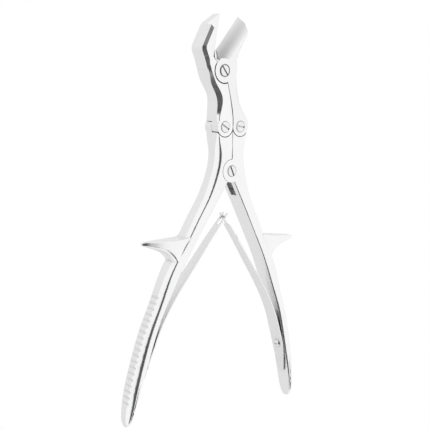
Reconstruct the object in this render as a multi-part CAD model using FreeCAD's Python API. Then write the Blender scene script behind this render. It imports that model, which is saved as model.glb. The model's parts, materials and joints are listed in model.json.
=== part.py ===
import FreeCAD, Part
import math
import os

# Rib shears with compound leverage, lying flat: X across, Y towards the jaws, Z through the thickness.
# The origin is on the handle pivot axis at the back face. The jaws are fully open.

# Driving dimensions, in millimetres and degrees
THICKNESS = 12.5
MIDDLE = THICKNESS / 2
TABLE_HALF = 6.25           # half thickness at which the tables of cross-sections are drawn
LAP_GAP = 0.1
SEAM_GAP = 0.06
RECESS_GAP = 0.25
RUNNING_GAP = 0.05
LEAN = 2.8                 # the link ends of the handles lean this far to the left
LINK_OUT = 6.15
LINK_UP = 27.5
LINK_EAR_R = 6.0
LINK_RECESS_R = LINK_EAR_R + 0.5      # the jaw turns past the handle's shoulder inside this radius
HANDLE_EAR_R = 7.2
TONGUE_LOW = THICKNESS * 0.292
TONGUE_HIGH = THICKNESS * 0.708
JAW_PIVOT = (-10.6, 61.3)
JAW_EAR_R = 7.4
JAW_PIVOT_PLAY = 0.45      # the opened pivot of the linkage runs loose by this much
SHANK_R = 2.3
HEAD_R = 3.35
HEAD_SEAT_Z = THICKNESS - 1.5
HEAD_TOP_Z = THICKNESS + 0.4
GROOVE_COUNT = 19
GROOVE_DEPTH = 0.75
GROOVE_HALF = 1.25
LEAF_THICK = 0.85
GROUND_WIDTH = 8.0
GROUND_HOLLOW = 0.3
EDGE_THICK = 0.8
LEAF_SCREW = (55.65, -117.0)
LEAF_SCREW_R = 1.3
HEAD_GAP = 0.2
JAW_ROUNDING = 1.0
CORNER_TURN = 35.0          # degrees from the flat front to the end of the rounded inner corner

os.makedirs("parts", exist_ok=True)


def vec(x, y, z=0.0):
    return FreeCAD.Vector(x, y, z)


def turned(point, degrees):
    """A plan point turned about the handle pivot."""
    a = math.radians(degrees)
    x = point[0] * math.cos(a) - point[1] * math.sin(a)
    y = point[0] * math.sin(a) + point[1] * math.cos(a)
    return (x, y)


def disc(centre, radius, low, high):
    return Part.makeCylinder(radius, high - low, vec(centre[0], centre[1], low))


def slab(points, low, high):
    """A plan outline made solid between two heights."""
    corners = [vec(p[0], p[1], low) for p in points]
    face = Part.Face(Part.makePolygon(corners + [corners[0]]))
    return face.extrude(vec(0, 0, high - low))


def section(inner, outer, half, bevel, facet, rounding, inner_rounding):
    """One upright cross-section: flat faces, a rounded inner corner, and a rounded and bevelled outer side."""
    half = half * MIDDLE / TABLE_HALF
    facet = facet * MIDDLE / TABLE_HALF
    across = vec(outer[0] - inner[0], outer[1] - inner[1])
    width = across.Length
    across.normalize()
    slope = math.radians(55)
    for _ in range(12):
        fall = half - facet - rounding * (1 - math.cos(slope))
        slope = math.atan2(max(fall, 0.05), bevel)
    run = rounding * math.sin(slope)
    turn = math.radians(CORNER_TURN)
    corner = inner_rounding * math.sin(turn)
    drop = inner_rounding * (1 - math.cos(turn))
    corner_crest = (corner - inner_rounding * math.sin(turn / 2), half - inner_rounding * (1 - math.cos(turn / 2)))

    def at(u, z):
        return vec(inner[0] + across.x * u, inner[1] + across.y * u, MIDDLE + z)

    flat_end = width - bevel - run
    crest = (flat_end + rounding * math.sin(slope / 2), half - rounding * (1 - math.cos(slope / 2)))
    shoulder = (width - bevel, half - rounding * (1 - math.cos(slope)))
    edges = [Part.makeLine(at(0, drop - half), at(0, half - drop))]
    edges.append(Part.Arc(at(0, half - drop), at(*corner_crest), at(corner, half)).toShape())
    edges.append(Part.makeLine(at(corner, half), at(flat_end, half)))
    edges.append(Part.Arc(at(flat_end, half), at(*crest), at(*shoulder)).toShape())
    edges.append(Part.makeLine(at(*shoulder), at(width, facet)))
    edges.append(Part.makeLine(at(width, facet), at(width, -facet)))
    edges.append(Part.makeLine(at(width, -facet), at(shoulder[0], -shoulder[1])))
    back = Part.Arc(at(shoulder[0], -shoulder[1]), at(crest[0], -crest[1]), at(flat_end, -half))
    edges.append(back.toShape())
    edges.append(Part.makeLine(at(flat_end, -half), at(corner, -half)))
    back = Part.Arc(at(corner, -half), at(corner_crest[0], -corner_crest[1]), at(0, drop - half))
    edges.append(back.toShape())
    return Part.Wire(edges)


def bevel_along(start, end, across, depth, face_z):
    """The wedge to cut from the outer edge that runs from start to end, body on the right-hand side."""
    along = vec(end[0] - start[0], end[1] - start[1])
    length = along.Length
    along.normalize()
    inward = vec(along.y, -along.x)
    down = -1.0 if face_z > MIDDLE else 1.0
    origin = vec(start[0], start[1], face_z) - along * 2.0
    out = inward * -6.0
    a = origin + inward * across
    b = a + vec(0, 0, -down * 3.0)
    c = origin + out + vec(0, 0, -down * 3.0)
    d = origin + out + vec(0, 0, down * depth)
    e = origin + vec(0, 0, down * depth)
    wedge = Part.Face(Part.makePolygon([a, b, c, d, e, a]))
    return wedge.extrude(along * (length + 4.0))


def screw(centre, low, slot_angle):
    """A slotted pivot screw, head at the front."""
    body = disc(centre, SHANK_R, low, HEAD_SEAT_Z + 0.2)
    head = disc(centre, HEAD_R, HEAD_SEAT_Z + 0.05, HEAD_TOP_Z)
    rim = [e for e in head.Edges if e.BoundBox.ZMin > HEAD_TOP_Z - 0.01]
    head = head.makeFillet(0.45, rim)
    slot = Part.makeBox(12, 1.0, 2.0, vec(-6, -0.5, HEAD_TOP_Z - 1.05))
    slot.rotate(vec(0, 0, 0), vec(0, 0, 1), slot_angle)
    slot.translate(vec(centre[0], centre[1], 0))
    return body.fuse(head).cut(slot)


LINK_LEFT = turned((-LINK_OUT, LINK_UP), LEAN)
LINK_RIGHT = turned((LINK_OUT, LINK_UP), LEAN)
HANDLE_PIVOT = (0.0, 0.0)
LEAF_NORMAL = vec(0.96, 0.281)       # from the right-hand leaf's foot into its handle

# Handle cross-sections of the right-hand side, from the link joint to the grip's end: inner point,
# outer point, half height, bevel width, facet half height, outer rounding, inner rounding
UPPER = [
    ((0.10, 27.5), (12.15, 27.5), TABLE_HALF, 0.25, 5.6, 0.3, 0.6),
    ((0.10, 25.0), (11.7, 25.0), TABLE_HALF, 0.45, 5.2, 0.5, 0.6),
    ((0.10, 20.5), (11.8, 20.5), TABLE_HALF, 0.8, 4.6, 0.9, 0.6),
    ((0.10, 13.0), (11.5, 13.0), TABLE_HALF, 1.3, 3.0, 2.8, 0.6),
    ((0.10, 5.5), (12.0, 5.0), TABLE_HALF, 1.4, 2.8, 3.4, 0.6),
]
LOWER = [
    ((0.9, -2.5), (14.3, -4.5), TABLE_HALF, 1.5, 2.8, 3.4, 1.2),
    ((4.3, -9.6), (17.5, -13.8), TABLE_HALF, 1.5, 2.9, 3.4, 2.2),
    ((9.9, -18.6), (22.3, -23.3), TABLE_HALF, 1.5, 3.0, 3.4, 2.3),
    ((14.9, -26.8), (27.6, -32.8), TABLE_HALF, 1.5, 3.2, 3.4, 2.3),
    ((20.4, -36.0), (32.9, -42.7), TABLE_HALF, 1.5, 3.3, 3.6, 2.3),
    ((26.4, -46.0), (38.8, -52.4), TABLE_HALF, 1.6, 3.2, 3.8, 2.5),
    ((32.6, -57.0), (44.8, -62.7), TABLE_HALF, 1.8, 3.1, 4.0, 2.8),
    ((39.0, -70.4), (49.8, -75.2), TABLE_HALF, 2.0, 3.0, 4.2, 3.4),
    ((44.8, -82.8), (54.3, -86.7), TABLE_HALF, 2.2, 2.9, 4.6, 4.2),
    ((50.5, -97.0), (59.6, -100.5), TABLE_HALF, 2.3, 2.8, 5.0, 4.8),
    ((55.1, -112.5), (63.7, -115.3), TABLE_HALF, 2.2, 2.8, 4.8, 4.8),
    ((59.6, -128.2), (67.1, -130.2), 6.22, 2.2, 2.8, 4.6, 4.2),
    ((63.1, -140.9), (68.6, -142.1), 5.9, 1.8, 2.7, 3.6, 3.0),
    ((65.0, -149.0), (68.8, -149.5), 4.9, 1.1, 2.3, 2.4, 2.0),
    ((66.0, -153.2), (68.0, -153.3), 3.2, 0.4, 1.7, 1.0, 0.8),
    ((66.4, -154.8), (67.4, -154.8), 1.4, 0.2, 0.8, 0.4, 0.4),
]
GRIP_OUTER = [row[1] for row in LOWER[7:13]]
# Finger spur of the right-hand side: distance out, top, underside, half height, bevel, facet, outer and
# inner rounding
SPUR = [
    (30.0, -40.6, -57.5, TABLE_HALF, 1.5, 3.2, 3.4, 1.0),
    (37.5, -42.0, -59.5, TABLE_HALF, 1.5, 3.2, 3.4, 1.0),
    (41.0, -42.3, -54.8, 6.1, 1.4, 3.0, 3.2, 1.0),
    (45.0, -42.5, -51.0, 5.5, 1.1, 2.6, 2.6, 1.0),
    (51.0, -42.8, -48.3, 4.2, 0.8, 1.9, 1.8, 0.9),
    (57.0, -43.0, -46.5, 2.6, 0.5, 1.1, 1.1, 0.8),
    (60.5, -43.3, -45.5, 1.5, 0.3, 0.7, 0.6, 0.5),
    (61.9, -43.8, -45.0, 0.8, 0.15, 0.4, 0.25, 0.25),
]


def handle_blank(lean):
    """The whole bar of a right-hand handle before its joints are cut."""
    wires = [section(turned(row[0], lean), turned(row[1], lean), *row[2:]) for row in UPPER]
    wires += [section(*row) for row in LOWER]
    return Part.makeLoft(wires, True, False)


def spur():
    """The pointed finger spur that stands out from the handle."""
    wires = [section((row[0], row[1]), (row[0], row[2]), *row[3:]) for row in SPUR]
    beyond = slab([(25.0, -42.6), (34.9, -58.6), (34.9, -64.0), (25.0, -64.0)], -1, THICKNESS + 1)
    return Part.makeLoft(wires, True, False).cut(beyond)


def grooves():
    """V-shaped cuts across the outer face of the grip."""
    lengths = [0.0]
    for a, b in zip(GRIP_OUTER, GRIP_OUTER[1:]):
        lengths.append(lengths[-1] + math.hypot(b[0] - a[0], b[1] - a[1]))
    cuts = []
    for i in range(GROOVE_COUNT):
        s = lengths[-1] * (i + 0.5) / GROOVE_COUNT
        k = max(j for j in range(len(lengths) - 1) if lengths[j] <= s)
        a, b = GRIP_OUTER[k], GRIP_OUTER[k + 1]
        span = lengths[k + 1] - lengths[k]
        t = (s - lengths[k]) / span
        x, y = a[0] + (b[0] - a[0]) * t, a[1] + (b[1] - a[1]) * t
        ux, uy = (b[0] - a[0]) / span, (b[1] - a[1]) / span
        ox, oy = -uy, ux
        far = 2.0
        wide = GROOVE_HALF * (GROOVE_DEPTH + far) / GROOVE_DEPTH
        root = (x - ox * GROOVE_DEPTH, y - oy * GROOVE_DEPTH)
        one = (x + ox * far - ux * wide, y + oy * far - uy * wide)
        two = (x + ox * far + ux * wide, y + oy * far + uy * wide)
        cuts.append(slab([root, one, two], -1, THICKNESS + 1))
    return cuts


def seam_side(lean):
    """The space beyond the seam between the upper arms, which the other handle owns."""
    block = Part.makeBox(40, 40, 20, vec(-40 + SEAM_GAP, 0.0, -2))
    block.rotate(vec(0, 0, 0), vec(0, 0, 1), lean)
    return block


def above_link(lean):
    """Everything past the link joint, where the handle's ear ends."""
    block = Part.makeBox(60, 40, 20, vec(-30, LINK_UP, -2))
    block.rotate(vec(0, 0, 0), vec(0, 0, 1), lean)
    return block


def handle(forked):
    """A handle built as the right-hand one; the left one, with the tongue, is its mirror image with the opposite lean."""
    lean = LEAN if forked else -LEAN
    link = turned((LINK_OUT, LINK_UP), lean)
    shape = handle_blank(lean).cut(seam_side(lean)).cut(above_link(lean))
    shape = shape.fuse(disc(link, LINK_EAR_R, 0, MIDDLE - LAP_GAP / 2))
    shape = shape.cut(disc(link, LINK_RECESS_R, MIDDLE - LAP_GAP / 2, THICKNESS + 1))
    shape = shape.fuse(spur())
    if forked:
        z0, z1 = TONGUE_LOW - LAP_GAP, TONGUE_HIGH + LAP_GAP
        shape = shape.fuse(disc(HANDLE_PIVOT, HANDLE_EAR_R, 0, THICKNESS))
        slot = disc(HANDLE_PIVOT, HANDLE_EAR_R + 0.1, z0, z1)
        mouth = slab([(-9, -8), (0.4, -8), (7.6, -16.2), (13.6, -13.0), (5.0, 0.5), (-9, 0)], z0, z1)
        shape = shape.cut(slot).cut(mouth)
        shape = shape.cut(disc(HANDLE_PIVOT, SHANK_R + RUNNING_GAP, -1, THICKNESS + 1))
        shape = shape.cut(disc(HANDLE_PIVOT, HEAD_R + HEAD_GAP, HEAD_SEAT_Z, THICKNESS + 1))
    else:
        low = disc(HANDLE_PIVOT, HANDLE_EAR_R + RECESS_GAP, -1, TONGUE_LOW)
        high = disc(HANDLE_PIVOT, HANDLE_EAR_R + RECESS_GAP, TONGUE_HIGH, THICKNESS + 1)
        shape = shape.cut(low).cut(high)
        shape = shape.fuse(disc(HANDLE_PIVOT, HANDLE_EAR_R - 0.2, TONGUE_LOW, TONGUE_HIGH))
        shape = shape.cut(disc(HANDLE_PIVOT, SHANK_R, -1, THICKNESS + 1))
    shape = shape.cut(disc(link, SHANK_R, -1, THICKNESS))
    for cut in grooves():
        shape = shape.cut(cut)
    middle = vec(LEAF_SCREW[0], LEAF_SCREW[1], MIDDLE)
    shape = shape.cut(Part.makeCylinder(LEAF_SCREW_R, 5.2, middle, LEAF_NORMAL))
    return shape if forked else shape.mirror(vec(0, 0, 0), vec(1, 0, 0))


# Jaw cross-sections: inner point on the seam, outer point, bevel, facet
HOOK_TAIL = [
    ((-1.48, 27.2), (-13.6, 27.2), 0.25, 5.6),
    ((-1.6, 29.8), (-13.25, 29.9), 0.5, 5.2),
    ((-1.85, 32.5), (-13.7, 32.8), 0.9, 4.8),
    ((-3.0, 38.0), (-13.7, 39.5), 2.6, 4.8),
    ((-4.75, 44.8), (-15.2, 46.5), 3.8, 4.4),
    ((-7.0, 52.0), (-19.6, 53.2), 3.2, 4.7),
    ((-9.6, 60.0), (-23.2, 61.7), 2.1, 5.2),
    ((-12.0, 64.5), (-25.3, 67.0), 2.4, 5.1),
]
BLADE_TAIL = [
    ((-1.2, 27.8), (10.85, 27.9), 0.25, 5.6),
    ((-1.55, 33.0), (10.2, 33.8), 0.9, 4.8),
    ((-2.75, 39.0), (7.0, 39.5), 2.8, 3.1),
    ((-4.5, 45.0), (4.3, 45.5), 3.3, 3.0),
    ((-6.8, 52.0), (2.6, 52.5), 3.0, 3.0),
    ((-9.2, 60.0), (1.6, 60.0), 2.5, 3.0),
    ((-9.0, 66.0), (0.5, 67.5), 2.4, 3.0),
]
HOOK_HEAD = [(-13.0, 62.0), (-23.2, 61.2), (-25.5, 66.8), (-28.2, 72.4), (-28.4, 74.4), (-22.4, 88.0), (-12.2, 95.4),
             (-12.0, 94.6), (-13.6, 84.0), (-14.4, 73.0), (-13.0, 66.0)]
SWEPT_BY_BLADE = [(-12.0, 60.0), (-17.4, 66.0), (-20.2, 69.2), (-20.0, 72.0), (-18.7, 84.6), (-21.2, 86.6),
                  (-23.5, 89.5), (-15.0, 104.0), (0.0, 104.0), (0.0, 60.0)]
BLADE_HEAD = [(-13.9, 73.3), (2.2, 94.7), (5.4, 91.6), (7.7, 87.6), (8.1, 84.0), (2.6, 74.6), (0.6, 69.0),
              (1.4, 61.5), (-5.0, 60.0), (-12.0, 66.8)]
EDGE_LOW = (-13.9, 73.3)
EDGE_HIGH = (2.2, 94.7)


def tail(rows):
    wires = [section(a, b, TABLE_HALF, bevel, facet, min(JAW_ROUNDING, bevel), 0.6) for a, b, bevel, facet in rows]
    return Part.makeLoft(wires, True, False)


def both_faces(shape, path, across, depth):
    for a, b in zip(path, path[1:]):
        shape = shape.cut(bevel_along(a, b, across, depth, THICKNESS))
        shape = shape.cut(bevel_along(a, b, across, depth, 0))
    return shape


def hook_jaw():
    head = slab(HOOK_HEAD, 0, THICKNESS)
    head = both_faces(head, HOOK_HEAD[1:5], 2.6, 1.2)
    head = both_faces(head, HOOK_HEAD[4:6], 2.2, 1.0)
    shape = tail(HOOK_TAIL).fuse(head)
    below = Part.makeBox(60, 20, 20, vec(-40, LINK_LEFT[1] - 20, -2))
    shape = shape.cut(below)
    lap = MIDDLE + LAP_GAP / 2
    shape = shape.fuse(disc(LINK_LEFT, LINK_EAR_R, lap, THICKNESS))
    shape = shape.cut(disc(LINK_LEFT, LINK_RECESS_R, -1, lap))
    rear_top = MIDDLE - LAP_GAP / 2
    clear = JAW_EAR_R + RECESS_GAP + JAW_PIVOT_PLAY
    shape = shape.fuse(disc(JAW_PIVOT, JAW_EAR_R, 0, rear_top))
    shape = shape.cut(disc(JAW_PIVOT, clear, rear_top, THICKNESS + 1))
    shape = shape.cut(slab(SWEPT_BY_BLADE, rear_top, THICKNESS + 1))
    shape = shape.cut(disc(JAW_PIVOT, SHANK_R, -1, THICKNESS))
    shape = shape.cut(disc(LINK_LEFT, SHANK_R + RUNNING_GAP, -1, THICKNESS + 1))
    return shape.cut(disc(LINK_LEFT, HEAD_R + HEAD_GAP, HEAD_SEAT_Z, THICKNESS + 1))


def ground_face():
    """The hollow ground off the front of the blade down to the cutting edge, as a wheel leaves it."""
    along = vec(EDGE_HIGH[0] - EDGE_LOW[0], EDGE_HIGH[1] - EDGE_LOW[1])
    length = along.Length
    along.normalize()
    inward = vec(along.y, -along.x)
    base = vec(EDGE_LOW[0], EDGE_LOW[1], 0) - along * 9.0
    edge_z = MIDDLE + LAP_GAP / 2 + EDGE_THICK
    chord = math.hypot(GROUND_WIDTH, THICKNESS - edge_z)
    wheel = chord * chord / (8 * GROUND_HOLLOW)
    reach = (wheel - GROUND_HOLLOW) / chord
    middle = base + inward * (GROUND_WIDTH / 2) + vec(0, 0, (THICKNESS + edge_z) / 2)
    axis = middle - inward * ((THICKNESS - edge_z) * reach) + vec(0, 0, GROUND_WIDTH * reach)
    return Part.makeCylinder(wheel, length + 12.0, axis, along)


def blade_jaw():
    lap = MIDDLE + LAP_GAP / 2
    head = slab(BLADE_HEAD, lap, THICKNESS)
    spine = [(1.4, 61.5), (0.6, 69.0), (2.6, 74.6), (8.1, 84.0), (7.7, 87.6), (5.4, 91.6)]
    for a, b in zip(spine, spine[1:]):
        head = head.cut(bevel_along(b, a, 2.0, 2.6, THICKNESS))
    head = head.cut(ground_face())
    shape = tail(BLADE_TAIL)
    shape = shape.cut(Part.makeBox(60, 20, 20, vec(-30, LINK_RIGHT[1] - 20, -2)))
    shape = shape.fuse(disc(LINK_RIGHT, LINK_EAR_R, lap, THICKNESS))
    shape = shape.cut(disc(LINK_RIGHT, LINK_RECESS_R, -1, lap))
    clear = JAW_EAR_R + RECESS_GAP + JAW_PIVOT_PLAY
    shape = shape.cut(disc(JAW_PIVOT, clear, -1, lap))
    swept = slab([(-12.0, 61.0), (-3.6, 61.0), (2.5, 68.5), (10.0, 80.0), (-12.0, 80.0)], -1, lap)
    shape = shape.cut(swept)
    shape = shape.fuse(head).fuse(disc(JAW_PIVOT, JAW_EAR_R, lap, THICKNESS))
    shape = shape.cut(disc(JAW_PIVOT, SHANK_R + RUNNING_GAP + JAW_PIVOT_PLAY, -1, THICKNESS + 1))
    shape = shape.cut(disc(JAW_PIVOT, HEAD_R + HEAD_GAP + JAW_PIVOT_PLAY, HEAD_SEAT_Z, THICKNESS + 1))
    shape = shape.cut(disc(LINK_RIGHT, SHANK_R + RUNNING_GAP, -1, THICKNESS + 1))
    return shape.cut(disc(LINK_RIGHT, HEAD_R + HEAD_GAP, HEAD_SEAT_Z, THICKNESS + 1))


# Leaf spring middle line of the right-hand side, from foot to tip, and its half width along Y
LEAF_LINE = [(61.15, -136.6), (58.95, -128.5), (55.65, -117.0), (51.2, -105.0), (48.1, -97.2), (43.3, -88.0),
             (37.2, -78.2), (28.2, -66.0), (16.0, -50.0), (4.9, -35.6), (0.0, -29.6), (-2.0, -27.0)]
LEAF_WIDTH = [(-137.4, 1.4), (-135.6, 2.4), (-130.0, 3.6), (-124.0, 4.5), (-117.0, 5.0), (-108.0, 5.0),
              (-95.0, 4.7), (-70.0, 4.0), (-45.0, 3.2), (-32.0, 2.75), (-25.0, 2.7)]
CROSSING_Y = -29.6
TONGUE_START = 4.6
TONGUE_HALF = 0.95
FORK_HALF = 1.3


def leaf(forked):
    """A leaf spring built as the right-hand one, whose narrow tongue passes through the left one's fork."""
    line = Part.BSplineCurve()
    line.interpolate([vec(x, y) for x, y in LEAF_LINE])
    sides = []
    for sign in (1, -1):
        row = []
        for p in line.discretize(Number=40):
            t = line.tangent(line.parameter(p))[0]
            row.append(p + vec(-t.y, t.x) * (sign * LEAF_THICK / 2))
        sides.append(row)
    one, two = Part.BSplineCurve(), Part.BSplineCurve()
    one.interpolate(sides[0])
    two.interpolate(sides[1])
    edges = [one.toShape(), Part.makeLine(sides[0][-1], sides[1][-1])]
    edges += [two.toShape(), Part.makeLine(sides[1][0], sides[0][0])]
    strip = Part.Face(Part.Wire(Part.__sortEdges__(edges))).extrude(vec(0, 0, THICKNESS))
    profile = [vec(-10, y, MIDDLE + h) for y, h in LEAF_WIDTH]
    profile += [vec(-10, y, MIDDLE - h) for y, h in reversed(LEAF_WIDTH)]
    keep = Part.Face(Part.makePolygon(profile + [profile[0]])).extrude(vec(90, 0, 0))
    strip = strip.common(keep)
    start = CROSSING_Y - TONGUE_START
    if forked:
        strip = strip.cut(Part.makeBox(40, 30, FORK_HALF * 2, vec(-20, start, MIDDLE - FORK_HALF)))
    else:
        for z0, z1 in ((-1, MIDDLE - TONGUE_HALF), (MIDDLE + TONGUE_HALF, THICKNESS + 1)):
            strip = strip.cut(Part.makeBox(40, 30, z1 - z0, vec(-20, start, z0)))
    middle = vec(LEAF_SCREW[0], LEAF_SCREW[1], MIDDLE)
    strip = strip.cut(Part.makeCylinder(LEAF_SCREW_R + 0.3, 16, middle - LEAF_NORMAL * 8, LEAF_NORMAL))
    return strip.mirror(vec(0, 0, 0), vec(1, 0, 0)) if forked else strip


def leaf_screw():
    """A domed slotted screw through the right-hand leaf's foot into its handle."""
    face = vec(LEAF_SCREW[0], LEAF_SCREW[1], MIDDLE) - LEAF_NORMAL * (LEAF_THICK / 2 + 0.3)
    shank = Part.makeCylinder(LEAF_SCREW_R, 5.8, face, LEAF_NORMAL)
    head = Part.makeSphere(2.9, face + LEAF_NORMAL * 1.3)
    head = head.common(Part.makeCylinder(3.2, 2.5, face - LEAF_NORMAL * 2.4, LEAF_NORMAL))
    slot = Part.makeBox(1.6, 0.7, 8.0, vec(-0.8, -0.35, -4.0))
    slot.rotate(vec(0, 0, 0), vec(0, 0, 1), math.degrees(math.atan2(LEAF_NORMAL.y, LEAF_NORMAL.x)))
    slot.translate(face - LEAF_NORMAL * 1.7)
    return shank.fuse(head).cut(slot)


NODES = {
    "left_handle": handle(False),
    "right_handle": handle(True),
    "hook_jaw": hook_jaw(),
    "blade_jaw": blade_jaw(),
    "handle_pivot_screw": screw(HANDLE_PIVOT, 0.0, -62.0),
    "hook_link_screw": screw(LINK_LEFT, 0.0, -28.0),
    "blade_link_screw": screw(LINK_RIGHT, 0.0, -6.0),
    "jaw_pivot_screw": screw(JAW_PIVOT, 0.0, -50.0),
    "left_leaf_spring": leaf(True),
    "right_leaf_spring": leaf(False),
    "left_spring_screw": leaf_screw().mirror(vec(0, 0, 0), vec(1, 0, 0)),
    "right_spring_screw": leaf_screw(),
}
for name, shape in NODES.items():
    whole = shape if name.endswith("handle") else shape.removeSplitter()
    print(name, whole.isValid(), len(whole.Solids), round(whole.Volume, 1))
    whole.exportStep("parts/" + name + ".step")
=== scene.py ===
import json
import math

import bmesh
import bpy
from mathutils import Matrix, Vector


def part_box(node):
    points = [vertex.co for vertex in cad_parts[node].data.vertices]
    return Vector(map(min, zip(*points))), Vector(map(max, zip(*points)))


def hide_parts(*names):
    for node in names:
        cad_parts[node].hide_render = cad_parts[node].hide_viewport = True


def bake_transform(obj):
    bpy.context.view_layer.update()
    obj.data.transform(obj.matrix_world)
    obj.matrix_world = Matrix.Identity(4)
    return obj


bl_info = {
    "name": "Rib shears looks",
    "version": (1, 0, 0),
    "blender": (4, 5, 0),
    "location": "View3D > Sidebar > Rib shears",
    "description": "Steel finishes, bending leaf springs and a plain studio for rib shears",
    "category": "Object",
}

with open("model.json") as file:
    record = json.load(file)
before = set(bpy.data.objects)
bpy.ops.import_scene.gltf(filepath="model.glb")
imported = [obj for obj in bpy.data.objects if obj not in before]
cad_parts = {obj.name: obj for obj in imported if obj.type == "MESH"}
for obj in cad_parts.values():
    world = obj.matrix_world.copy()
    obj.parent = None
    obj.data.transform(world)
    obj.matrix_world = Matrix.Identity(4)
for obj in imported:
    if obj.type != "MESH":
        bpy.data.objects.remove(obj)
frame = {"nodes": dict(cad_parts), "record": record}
NODES = frame["nodes"]
SLOT_COLOURS = {m["slot"]: tuple(m["base_color"][:3]) for m in frame["record"]["materials"]}
FRONT_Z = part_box("right_handle")[1].z

HANDLES = ("left_handle", "right_handle")
SCREWS = ("handle_pivot_screw", "hook_link_screw", "blade_link_screw", "jaw_pivot_screw",
          "left_spring_screw", "right_spring_screw")
# Each leaf with the handle that holds it, the body of its tip, and its joint
SPRINGS = {
    "left_leaf_spring": ("left_handle", "left_spring", "left_spring_bend"),
    "right_leaf_spring": ("right_handle", "right_spring", "right_spring_bend"),
}

# Polish, wear, and painted shade in joints and grooves
CREASE = 28.0                       # degrees between two faces from which their edge stays sharp
SCREW_CREASE = 24.0
VARIATION = 0.08
SMALL_PIECE_VARIATION = 0.1
CLOUD_DETAIL = 4.0
MARK_DETAIL = 2.0
MARK_STRETCH = (1.0, 0.12, 1.0)     # the polishing marks run along the shears
MARKS_PER_CLOUD = 60.0
MARK_DEPTH = 0.00005
EDGE_GAIN = 4.0
WEAR_GAIN = 0.25
# How near another surface must be for a spot to get painted shade in joints and grooves
SHELTER_REACH = 0.0022
SAMPLES = 6

# Rows of points in the leaf springs
MERGE_DISTANCE = 1e-6
SPLIT_ROUNDS = 4

# Camera, lamp and the cards that the steel mirrors, in metres
SENSOR_WIDTH = 36.0                 # millimetres
LAMP_SIZE = 0.8
LAMP_PLACE = Vector((0.5, -0.2, 0.9))
LAMP_TARGET = Vector((0, -0.03, 0))
SCREEN_FAR = 2.2
SCREEN_CORNERS = 96
SCREEN_RIM = 0.04                   # shares of the way in from the rim: still white, and fully dark
SCREEN_FULL = 0.2
TABLE_SIZE = 12.0
TABLE_BELOW = 1.5
TABLE_TURN = 90.0
TABLE_SHIFT = (0.5, 0, 0)
TABLE_SPREAD = 0.45


def colour_property(name, description, default):
    return bpy.props.FloatVectorProperty(
        name=name, description=description, subtype="COLOR", size=3, min=0.0, max=1.0, default=default)


def share_property(name, description, default, top=1.0):
    return bpy.props.FloatProperty(name=name, description=description, min=0.0, max=top, default=default)


def length_property(name, description, default):
    return bpy.props.FloatProperty(
        name=name, description=description, unit="LENGTH", min=0.0, precision=5, default=default)


def angle_property(name, description, degrees):
    return bpy.props.FloatProperty(
        name=name, description=description, subtype="ANGLE", default=math.radians(degrees))


class RibShearsSteel(bpy.types.PropertyGroup):
    polished: colour_property(
        "Polished steel", "Colour of the handles and jaws", SLOT_COLOURS["polished_steel"])
    ground: colour_property("Ground steel", "Colour of the blade", SLOT_COLOURS["ground_steel"])
    spring: colour_property("Spring steel", "Colour of the leaf springs", SLOT_COLOURS["spring_steel"])
    screw: colour_property("Screw steel", "Colour of the screws", SLOT_COLOURS["screw_steel"])
    roughness: share_property("Roughness", "How blurred the reflections of the handles are", 0.2)
    spring_roughness: share_property(
        "Spring roughness", "How blurred the reflections of the springs are", 0.3)
    screw_roughness: share_property(
        "Screw roughness", "How blurred the reflections of the screws are", 0.24)
    grain: share_property("Grain", "Depth of the fine polishing marks", 0.05)
    wear: share_property("Edge wear", "How much brighter the edges are from handling", 0.3)
    # Painted shade: how much the joints, grooves and screw slots are darkened where shade falls
    painted_joint_shade: share_property("Painted Joint Shade", "How dark the joints and grooves are", 0.5)
    edge_radius: length_property("Edge radius", "How softly the machined edges catch the light", 0.00022)


class RibShearsSprings(bpy.types.PropertyGroup):
    bend_start: length_property("Bend start", "How far above its screw a leaf starts to bend", 0.004)
    bend_length: length_property("Bend length", "The length of leaf that takes up the bend", 0.060)
    step: length_property("Step", "The longest stretch of leaf between two rows of points", 0.003)


class RibShearsStage(bpy.types.PropertyGroup):
    swing: angle_property("Swing", "How far the camera stands to the left of the front faces", 40.16)
    tilt: angle_property("Tilt", "How far the camera stands towards the jaws", 6.58)
    roll: angle_property("Roll", "How far the camera is rolled", 3.39)
    distance: length_property("Distance", "From the camera to the shears", 0.610)
    across: bpy.props.FloatProperty(
        name="Across", description="Sideways place of the camera", unit="LENGTH", default=-0.00657)
    along: bpy.props.FloatProperty(
        name="Along", description="Upward place of the camera", unit="LENGTH", default=-0.02814)
    lens: bpy.props.FloatProperty(name="Lens", description="Focal length in millimetres", default=81.43)
    background: colour_property("Background", "Colour behind the shears", (1.0, 1.0, 1.0))
    ambient: share_property("Ambient", "Strength of the even light from all round", 0.8, 4.0)
    key: bpy.props.FloatProperty(
        name="Key light", description="Power of the overhead lamp in watts", default=3.0)
    screen_black: share_property("Screen black", "Brightness of the dark screen above the shears", 0.08)
    screen_across: angle_property(
        "Screen across", "Half the sideways angle that the dark screen fills", 27.5)
    screen_along: angle_property(
        "Screen along", "Half the angle that the dark screen fills along the shears", 56.5)
    screen_swing: angle_property(
        "Screen swing", "Angle of the dark screen's middle to the left of straight above", 20.5)
    screen_drop: angle_property(
        "Screen drop", "Angle of the dark screen's middle towards the grips", 8.0)
    table_jaws: share_property(
        "Table at the jaws", "Brightness of the table under the jaws, as the steel mirrors it", 0.86)
    table_grips: share_property(
        "Table at the grips", "Brightness of the table under the grips, as the steel mirrors it", 0.80)


def new_group(name, inputs, outputs):
    """A shader node group with named sockets; each input is name, kind and default value."""
    group = bpy.data.node_groups.new(name, "ShaderNodeTree")
    for label, kind, default in inputs:
        socket = group.interface.new_socket(name=label, in_out="INPUT", socket_type=kind)
        socket.default_value = default
    for label, kind in outputs:
        group.interface.new_socket(name=label, in_out="OUTPUT", socket_type=kind)
    return group, group.nodes.new("NodeGroupInput"), group.nodes.new("NodeGroupOutput")


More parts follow.
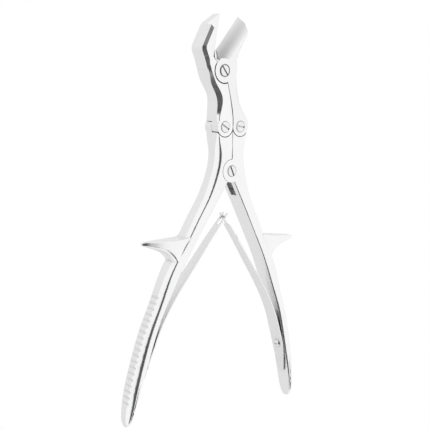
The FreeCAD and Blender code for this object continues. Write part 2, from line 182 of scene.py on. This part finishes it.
def math_node(tree, operation, a, b, clamp=False):
    """The output of a sum or product of two sockets or plain numbers."""
    node = tree.nodes.new("ShaderNodeMath")
    node.operation = operation
    node.use_clamp = clamp
    for socket, value in ((node.inputs[0], a), (node.inputs[1], b)):
        if isinstance(value, (int, float)):
            socket.default_value = value
        else:
            tree.links.new(value, socket)
    return node.outputs[0]


def shaded(tree, colour, level):
    """The output of a colour made lighter or darker by a level."""
    shade = tree.nodes.new("ShaderNodeVectorMath")
    shade.operation = "SCALE"
    tree.links.new(colour, shade.inputs[0])
    tree.links.new(level, shade.inputs["Scale"])
    return shade.outputs[0]


def polishing_grain():
    """Fine cloudy variation of colour and roughness, with shallow polishing marks."""
    group, given, out = new_group(
        "Polishing Grain",
        [("Color", "NodeSocketColor", (0.8, 0.8, 0.8, 1.0)), ("Roughness", "NodeSocketFloat", 0.2),
         ("Variation", "NodeSocketFloat", 0.1), ("Scale", "NodeSocketFloat", 60.0)],
        [("Color", "NodeSocketColor"), ("Roughness", "NodeSocketFloat"), ("Height", "NodeSocketFloat")])
    links = group.links
    place = group.nodes.new("ShaderNodeTexCoord")
    clouds = group.nodes.new("ShaderNodeTexNoise")
    clouds.inputs["Detail"].default_value = CLOUD_DETAIL
    links.new(place.outputs["Object"], clouds.inputs["Vector"])
    links.new(given.outputs["Scale"], clouds.inputs["Scale"])
    stretch = group.nodes.new("ShaderNodeMapping")
    stretch.inputs["Scale"].default_value = MARK_STRETCH
    links.new(place.outputs["Object"], stretch.inputs["Vector"])
    marks = group.nodes.new("ShaderNodeTexNoise")
    marks.inputs["Detail"].default_value = MARK_DETAIL
    links.new(stretch.outputs["Vector"], marks.inputs["Vector"])
    fineness = math_node(group, "MULTIPLY", given.outputs["Scale"], MARKS_PER_CLOUD)
    links.new(fineness, marks.inputs["Scale"])
    swing = math_node(group, "SUBTRACT", clouds.outputs["Fac"], 0.5)
    amount = math_node(group, "MULTIPLY", swing, given.outputs["Variation"])
    level = math_node(group, "ADD", amount, 1.0)
    links.new(shaded(group, given.outputs["Color"], level), out.inputs["Color"])
    rough = math_node(group, "ADD", given.outputs["Roughness"], amount, clamp=True)
    links.new(rough, out.inputs["Roughness"])
    links.new(marks.outputs["Fac"], out.inputs["Height"])
    return group


def edge_wear_and_painted_joint_shade():
    """Brighter rubbed edges, and painted shade that darkens the joints and grooves."""
    group, given, out = new_group(
        "Edge Wear And Painted Joint Shade",
        [("Color", "NodeSocketColor", (0.8, 0.8, 0.8, 1.0)), ("Wear", "NodeSocketFloat", 0.3),
         ("Painted Joint Shade", "NodeSocketFloat", 0.5), ("Edge Radius", "NodeSocketFloat", 0.0003)],
        [("Color", "NodeSocketColor"), ("Normal", "NodeSocketVector")])
    links = group.links
    soft = group.nodes.new("ShaderNodeBevel")
    soft.samples = SAMPLES
    links.new(given.outputs["Edge Radius"], soft.inputs["Radius"])
    flat = group.nodes.new("ShaderNodeNewGeometry")
    facing = group.nodes.new("ShaderNodeVectorMath")
    facing.operation = "DOT_PRODUCT"
    links.new(soft.outputs["Normal"], facing.inputs[0])
    links.new(flat.outputs["Normal"], facing.inputs[1])
    turned = math_node(group, "SUBTRACT", 1.0, facing.outputs["Value"])
    rubbed = math_node(group, "MULTIPLY", turned, EDGE_GAIN, clamp=True)
    # Painted shade: sheltered spots in joints and grooves are darkened in the colour
    shelter = group.nodes.new("ShaderNodeAmbientOcclusion")
    shelter.samples = SAMPLES
    shelter.inputs["Distance"].default_value = SHELTER_REACH
    hidden = math_node(group, "SUBTRACT", 1.0, shelter.outputs["AO"])
    dark = math_node(group, "MULTIPLY", hidden, given.outputs["Painted Joint Shade"], clamp=True)
    bright = math_node(group, "MULTIPLY", rubbed, given.outputs["Wear"])
    kept = math_node(group, "SUBTRACT", 1.0, dark)
    added = math_node(group, "MULTIPLY", bright, WEAR_GAIN)
    level = math_node(group, "ADD", kept, added)
    links.new(shaded(group, given.outputs["Color"], level), out.inputs["Color"])
    links.new(soft.outputs["Normal"], out.inputs["Normal"])
    return group


def steel(name, colour, roughness, grain, tone, look, variation=VARIATION):
    """A metal material made from the two shared node groups."""
    material = bpy.data.materials.new(name)
    material.use_nodes = True
    tree = material.node_tree
    surface = tree.nodes["Principled BSDF"]
    surface.inputs["Metallic"].default_value = 1.0
    fine = tree.nodes.new("ShaderNodeGroup")
    fine.node_tree = grain
    fine.inputs["Color"].default_value = (*colour, 1.0)
    fine.inputs["Roughness"].default_value = roughness
    fine.inputs["Variation"].default_value = variation
    edges = tree.nodes.new("ShaderNodeGroup")
    edges.node_tree = tone
    edges.inputs["Wear"].default_value = look.wear
    # Strength of the painted shade in joints and grooves
    edges.inputs["Painted Joint Shade"].default_value = look.painted_joint_shade
    edges.inputs["Edge Radius"].default_value = look.edge_radius
    bump = tree.nodes.new("ShaderNodeBump")
    bump.inputs["Strength"].default_value = look.grain
    bump.inputs["Distance"].default_value = MARK_DEPTH
    tree.links.new(fine.outputs["Color"], edges.inputs["Color"])
    tree.links.new(edges.outputs["Color"], surface.inputs["Base Color"])
    tree.links.new(fine.outputs["Roughness"], surface.inputs["Roughness"])
    tree.links.new(fine.outputs["Height"], bump.inputs["Height"])
    tree.links.new(edges.outputs["Normal"], bump.inputs["Normal"])
    tree.links.new(bump.outputs["Normal"], surface.inputs["Normal"])


def dress(piece, material, crease=CREASE):
    """Gives a piece its material, and smooths it except at its creases."""
    mesh = piece.data
    mesh.materials.clear()
    mesh.materials.append(bpy.data.materials[material])
    mesh.polygons.foreach_set("use_smooth", [True] * len(mesh.polygons))
    mesh.set_sharp_from_angle(angle=math.radians(crease))


class RIBSHEARS_OT_steels(bpy.types.Operator):
    """Make the steel materials"""

    bl_idname = "ribshears.steels"
    bl_label = "Steel materials"

    def execute(self, context):
        look = context.scene.ribshears_steel
        shared = polishing_grain(), edge_wear_and_painted_joint_shade(), look
        steel("Polished Steel", look.polished, look.roughness, *shared)
        steel("Ground Steel", look.ground, look.roughness, *shared)
        steel("Spring Steel", look.spring, look.spring_roughness, *shared, SMALL_PIECE_VARIATION)
        steel("Screw Steel", look.screw, look.screw_roughness, *shared, SMALL_PIECE_VARIATION)
        return {"FINISHED"}


class RIBSHEARS_OT_handles(bpy.types.Operator):
    """Finish the two spurred handles"""

    bl_idname = "ribshears.handles"
    bl_label = "Handles"

    def execute(self, context):
        for name in HANDLES:
            dress(NODES[name], "Polished Steel")
        return {"FINISHED"}


class RIBSHEARS_OT_jaws(bpy.types.Operator):
    """Finish the hooked jaw and the blade jaw"""

    bl_idname = "ribshears.jaws"
    bl_label = "Jaws"

    def execute(self, context):
        dress(NODES["hook_jaw"], "Polished Steel")
        dress(NODES["blade_jaw"], "Ground Steel")
        return {"FINISHED"}


class RIBSHEARS_OT_screws(bpy.types.Operator):
    """Finish the slotted screws"""

    bl_idname = "ribshears.screws"
    bl_label = "Screws"

    def execute(self, context):
        for name in SCREWS:
            dress(NODES[name], "Screw Steel", SCREW_CREASE)
        return {"FINISHED"}


def bending_mesh(name, step):
    """A copy of a leaf's mesh whose rows of points lie close enough together to bend smoothly."""
    mesh = NODES[name].data.copy()
    mesh.name = name + "_bent"
    shape = bmesh.new()
    shape.from_mesh(mesh)
    bmesh.ops.remove_doubles(shape, verts=shape.verts, dist=MERGE_DISTANCE)
    for _ in range(SPLIT_ROUNDS):
        long_edges = [e for e in shape.edges if e.calc_length() > step]
        if long_edges:
            bmesh.ops.subdivide_edges(shape, edges=long_edges, cuts=1)
            bmesh.ops.triangulate(shape, faces=[f for f in shape.faces if len(f.verts) > 4])
    shape.to_mesh(mesh)
    shape.free()
    return mesh


class RIBSHEARS_OT_leaf_springs(bpy.types.Operator):
    """Make finely divided copies of the leaf springs, and hide the imported leaves"""

    bl_idname = "ribshears.leaf_springs"
    bl_label = "Leaf springs"

    def execute(self, context):
        look = context.scene.ribshears_springs
        for name, (handle, spring, joint) in SPRINGS.items():
            piece = bpy.data.objects.new(name + "_bent", bending_mesh(name, look.step))
            context.scene.collection.objects.link(piece)
            dress(piece, "Spring Steel")
            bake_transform(piece)
            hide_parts(name)
        return {"FINISHED"}


def ray_mask(tree):
    """One where the ray comes from the camera, a mirror-like surface or clear glass."""
    path = tree.nodes.new("ShaderNodeLightPath")
    seen = math_node(tree, "ADD", path.outputs["Is Camera Ray"], path.outputs["Is Glossy Ray"])
    return math_node(tree, "ADD", seen, path.outputs["Is Transmission Ray"], clamp=True)


def glow_material(name, stops, gradient, shift=(0, 0, 0), spread=1.0):
    """A glow that follows a plain gradient, from grey levels at places along it."""
    material = bpy.data.materials.new(name)
    material.use_nodes = True
    tree = material.node_tree
    tree.nodes.clear()
    out = tree.nodes.new("ShaderNodeOutputMaterial")
    glow = tree.nodes.new("ShaderNodeEmission")
    ramp = tree.nodes.new("ShaderNodeValToRGB")
    ramp.color_ramp.interpolation = "EASE"
    while len(ramp.color_ramp.elements) < len(stops):
        ramp.color_ramp.elements.new(0.5)
    for element, (place, level) in zip(ramp.color_ramp.elements, stops):
        element.position = place
        element.color = (level, level, level, 1.0)
    fall = tree.nodes.new("ShaderNodeTexGradient")
    fall.gradient_type = gradient
    place = tree.nodes.new("ShaderNodeTexCoord")
    mapping = tree.nodes.new("ShaderNodeMapping")
    mapping.inputs["Location"].default_value = shift
    mapping.inputs["Scale"].default_value = (spread, spread, spread)
    tree.links.new(place.outputs["Object"], mapping.inputs["Vector"])
    tree.links.new(mapping.outputs["Vector"], fall.inputs["Vector"])
    tree.links.new(fall.outputs["Fac"], ramp.inputs["Fac"])
    tree.links.new(ramp.outputs["Color"], glow.inputs["Color"])
    tree.links.new(glow.outputs["Emission"], out.inputs["Surface"])
    return material


def only_mirrored(card):
    """The card is seen in the steel and nowhere else."""
    card.visible_camera = False
    card.visible_diffuse = False
    card.visible_shadow = False
    card.visible_transmission = False
    card.visible_volume_scatter = False


def add_camera(scene, look, middle):
    """A camera to the left of the front faces, a little towards the jaws."""
    swing, tilt, roll = look.swing, look.tilt, look.roll
    level = math.cos(tilt)
    back = Vector((-math.sin(swing) * level, math.sin(tilt), math.cos(swing) * level))
    level_right = Vector((0, 1, 0)).cross(back).normalized()
    level_up = back.cross(level_right)
    right = level_right * math.cos(roll) + level_up * math.sin(roll)
    up = level_up * math.cos(roll) - level_right * math.sin(roll)
    data = bpy.data.cameras.new("Camera")
    data.lens = look.lens
    data.sensor_width = SENSOR_WIDTH
    camera = bpy.data.objects.new("Camera", data)
    scene.collection.objects.link(camera)
    turn = Matrix((right, up, back)).transposed().to_4x4()
    place = middle + back * look.distance + right * look.across + up * look.along
    camera.matrix_world = Matrix.Translation(place) @ turn
    scene.camera = camera


def add_world(scene, look):
    """A plain background where it is seen or mirrored, and an even light elsewhere."""
    world = bpy.data.worlds.new("Plain World")
    scene.world = world
    world.use_nodes = True
    tree = world.node_tree
    mix = tree.nodes.new("ShaderNodeMix")
    mix.data_type = "RGBA"
    tree.links.new(ray_mask(tree), mix.inputs["Factor"])
    mix.inputs["A"].default_value = (look.ambient, look.ambient, look.ambient, 1.0)
    mix.inputs["B"].default_value = (*look.background, 1.0)
    tree.links.new(mix.outputs["Result"], tree.nodes["Background"].inputs["Color"])


def add_lamp(scene, look):
    """A broad lamp that lights the shears and isn't mirrored in them."""
    data = bpy.data.lights.new("Overhead", "AREA")
    data.energy = look.key
    data.size = LAMP_SIZE
    lamp = bpy.data.objects.new("Overhead", data)
    scene.collection.objects.link(lamp)
    lamp.location = LAMP_PLACE
    lamp.visible_glossy = False
    lamp.rotation_euler = (LAMP_TARGET - LAMP_PLACE).to_track_quat("-Z", "Y").to_euler()


def add_dark_screen(look, middle):
    """A dark oval screen above the shears, white at its rim."""
    bpy.ops.mesh.primitive_circle_add(vertices=SCREEN_CORNERS, radius=1.0, fill_type="NGON")
    screen = bpy.context.object
    screen.name = "dark_screen"
    aim = Matrix.Rotation(-look.screen_swing, 4, "Y") @ Matrix.Rotation(look.screen_drop, 4, "X")
    width = SCREEN_FAR * math.tan(look.screen_across)
    length = SCREEN_FAR * math.tan(look.screen_along)
    outwards = Matrix.Translation((0, 0, SCREEN_FAR))
    spread = Matrix.Diagonal((width, length, 1.0, 1.0))
    screen.matrix_world = Matrix.Translation(middle) @ aim @ outwards @ spread
    black = look.screen_black
    stops = [(0.0, 1.0), (SCREEN_RIM, 1.0), (SCREEN_FULL, black), (1.0, black)]
    screen.data.materials.append(glow_material("Dark Screen", stops, "SPHERICAL"))
    return screen


def add_mirrored_table(look):
    """A pale table below the shears, a little darker under the grips."""
    bpy.ops.mesh.primitive_plane_add(size=TABLE_SIZE, location=(0, 0, -TABLE_BELOW))
    table = bpy.context.object
    table.name = "mirrored_table"
    stops = [(0.0, look.table_grips), (1.0, look.table_jaws)]
    glow = glow_material("Mirrored Table", stops, "LINEAR", TABLE_SHIFT, TABLE_SPREAD)
    table.data.materials.append(glow)
    table.rotation_euler = (0, 0, math.radians(TABLE_TURN))
    return table


class RIBSHEARS_OT_stage(bpy.types.Operator):
    """Make the camera, the white background, the lamp and the cards that the steel mirrors"""

    bl_idname = "ribshears.stage"
    bl_label = "Stage"

    def execute(self, context):
        scene = context.scene
        look = scene.ribshears_stage
        middle = Vector((0, 0, FRONT_Z / 2))
        add_camera(scene, look, middle)
        add_world(scene, look)
        add_lamp(scene, look)
        for card in (add_dark_screen(look, middle), add_mirrored_table(look)):
            only_mirrored(card)
        scene.render.engine = "CYCLES"
        scene.view_settings.view_transform = "Standard"
        return {"FINISHED"}


class RIBSHEARS_PT_panel(bpy.types.Panel):
    bl_idname = "RIBSHEARS_PT_panel"
    bl_label = "Rib shears"
    bl_space_type = "VIEW_3D"
    bl_region_type = "UI"
    bl_category = "Rib shears"

    def draw(self, context):
        layout = self.layout
        scene = context.scene
        for group in (scene.ribshears_steel, scene.ribshears_springs, scene.ribshears_stage):
            box = layout.box()
            for key in group.__annotations__:
                box.prop(group, key)
        for operator in OPERATORS:
            layout.operator(operator.bl_idname)


OPERATORS = (RIBSHEARS_OT_steels, RIBSHEARS_OT_handles, RIBSHEARS_OT_jaws, RIBSHEARS_OT_screws,
             RIBSHEARS_OT_leaf_springs, RIBSHEARS_OT_stage)
CLASSES = (RibShearsSteel, RibShearsSprings, RibShearsStage, *OPERATORS, RIBSHEARS_PT_panel)


def register():
    for cls in CLASSES:
        bpy.utils.register_class(cls)
    bpy.types.Scene.ribshears_steel = bpy.props.PointerProperty(type=RibShearsSteel)
    bpy.types.Scene.ribshears_springs = bpy.props.PointerProperty(type=RibShearsSprings)
    bpy.types.Scene.ribshears_stage = bpy.props.PointerProperty(type=RibShearsStage)


def unregister():
    del bpy.types.Scene.ribshears_stage
    del bpy.types.Scene.ribshears_springs
    del bpy.types.Scene.ribshears_steel
    for cls in reversed(CLASSES):
        bpy.utils.unregister_class(cls)


def main():
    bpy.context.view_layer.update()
    register()
    bpy.ops.ribshears.steels()
    bpy.ops.ribshears.handles()
    bpy.ops.ribshears.jaws()
    bpy.ops.ribshears.screws()
    bpy.ops.ribshears.leaf_springs()
    bpy.ops.ribshears.stage()


if __name__ == "__main__":
    main()
